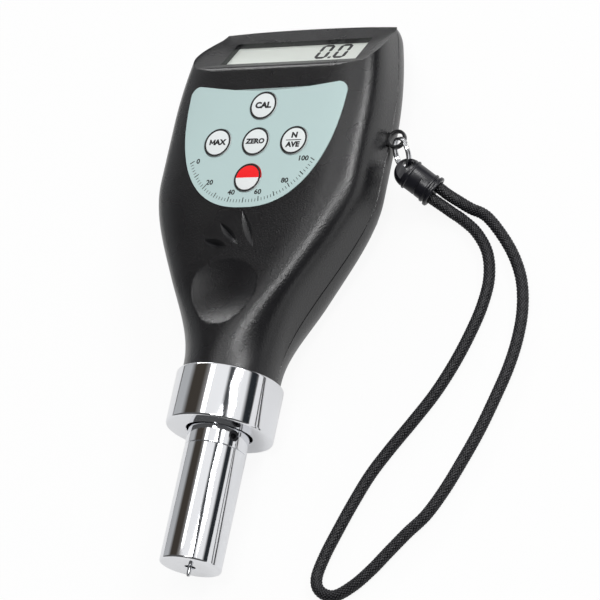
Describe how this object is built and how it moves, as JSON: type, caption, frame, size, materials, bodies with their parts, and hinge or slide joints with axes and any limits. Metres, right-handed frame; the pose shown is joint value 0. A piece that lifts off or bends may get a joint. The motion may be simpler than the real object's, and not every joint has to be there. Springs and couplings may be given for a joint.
{
  "type": "digital durometer",
  "caption": "Hand-held digital hardness gauge: flared dark housing with sloping display and round keys, polished sensor barrel with sprung indenter, and a wrist strap on a split ring.",
  "frame": {"origin": "middle of the flat back, below the middle key", "axes": "X to the strap side, Y from the pressure foot to the display, Z out of the keypad"},
  "size_m": [0.1112, 0.1638, 0.0297],
  "materials": {
    "housing": "fine matte mould texture",
    "steel": "bright steel",
    "film": "printed satin film",
    "key_white": "satin white",
    "key_red": "satin red",
    "dark_plastic": "moulded black",
    "board": "green laminate",
    "lens": "clear polished",
    "panel": "grey reflective display",
    "light_plastic": "moulded white",
    "elastomer": "striped elastomer",
    "flex": "amber flat cable",
    "cell": "plain wrapped can",
    "chrome": "polished chrome",
    "dark_steel": "blackened steel",
    "brass": "turned brass",
    "winding": "enamelled copper",
    "ferrule": "gloss black",
    "cord": "fine black braid"
  },
  "bodies": {
    "housing": {"front_shell": "housing", "rear_shell": "housing", "case_screws": "steel", "keypad_film": "film", "tact_switches": "dark_plastic", "main_board": "board", "board_screws": "steel", "lcd_lens": "lens", "lcd_panel": "panel", "lcd_frame": "light_plastic", "contact_strips": "elastomer", "lcd_board": "board", "display_flex": "flex", "battery_holder": "dark_plastic", "battery_cells": "cell", "battery_springs": "steel", "battery_contacts": "steel", "sensor_collar": "chrome", "sensor_hub": "chrome", "set_screw": "dark_steel", "foot_sleeve": "chrome", "guide_bush": "brass", "load_spring": "steel", "spring_adjuster": "brass", "transducer_coil": "winding", "sensor_lead": "flex", "strap_anchor": "dark_plastic"},
    "probe": {"indenter": "steel", "plunger": "steel", "transducer_core": "dark_steel"},
    "cal": {"key_cal": "key_white"},
    "max": {"key_max": "key_white"},
    "zero": {"key_zero": "key_white"},
    "average": {"key_average": "key_white"},
    "power": {"key_power": "key_red"},
    "door": {"battery_door": "housing"},
    "ring": {"split_ring": "chrome"},
    "strap": {"strap_ferrule": "ferrule", "strap_cord": "cord"}
  },
  "joints": [
    {"name": "indenter_slide", "type": "slide", "parent": "housing", "child": "probe", "axis": [0, 1, 0], "range_m": [0, 0.0025], "stiffness_N_per_m": 3000, "springref_m": -0.00018, "deforming": ["load_spring"]},
    {"name": "cal_press", "type": "slide", "parent": "housing", "child": "cal", "axis": [0, 0, -1], "range_m": [0, 0.0005], "stiffness_N_per_m": 2000, "springref_m": -0.0001},
    {"name": "max_press", "type": "slide", "parent": "housing", "child": "max", "axis": [0, 0, -1], "range_m": [0, 0.0005], "stiffness_N_per_m": 2000, "springref_m": -0.0001},
    {"name": "zero_press", "type": "slide", "parent": "housing", "child": "zero", "axis": [0, 0, -1], "range_m": [0, 0.0005], "stiffness_N_per_m": 2000, "springref_m": -0.0001},
    {"name": "average_press", "type": "slide", "parent": "housing", "child": "average", "axis": [0, 0, -1], "range_m": [0, 0.0005], "stiffness_N_per_m": 2000, "springref_m": -0.0001},
    {"name": "power_press", "type": "slide", "parent": "housing", "child": "power", "axis": [0, 0, -1], "range_m": [0, 0.0005], "stiffness_N_per_m": 2000, "springref_m": -0.0001},
    {"name": "battery_door_slide", "type": "slide", "parent": "housing", "child": "door", "axis": [0, 1, 0], "range_m": [0, 0.045]},
    {"name": "split_ring_swing", "type": "hinge", "parent": "housing", "child": "ring", "pos_m": [0.0351, 0.0064, 0.01335], "axis": [0, 0, 1], "range_deg": [0, 70]},
    {"name": "ferrule_swing", "type": "hinge", "parent": "ring", "child": "strap", "pos_m": [0.03843, -0.00069, 0.0106], "axis": [-0.6067, -0.1309, -0.7841], "range_deg": [0, 12]}
  ]
}
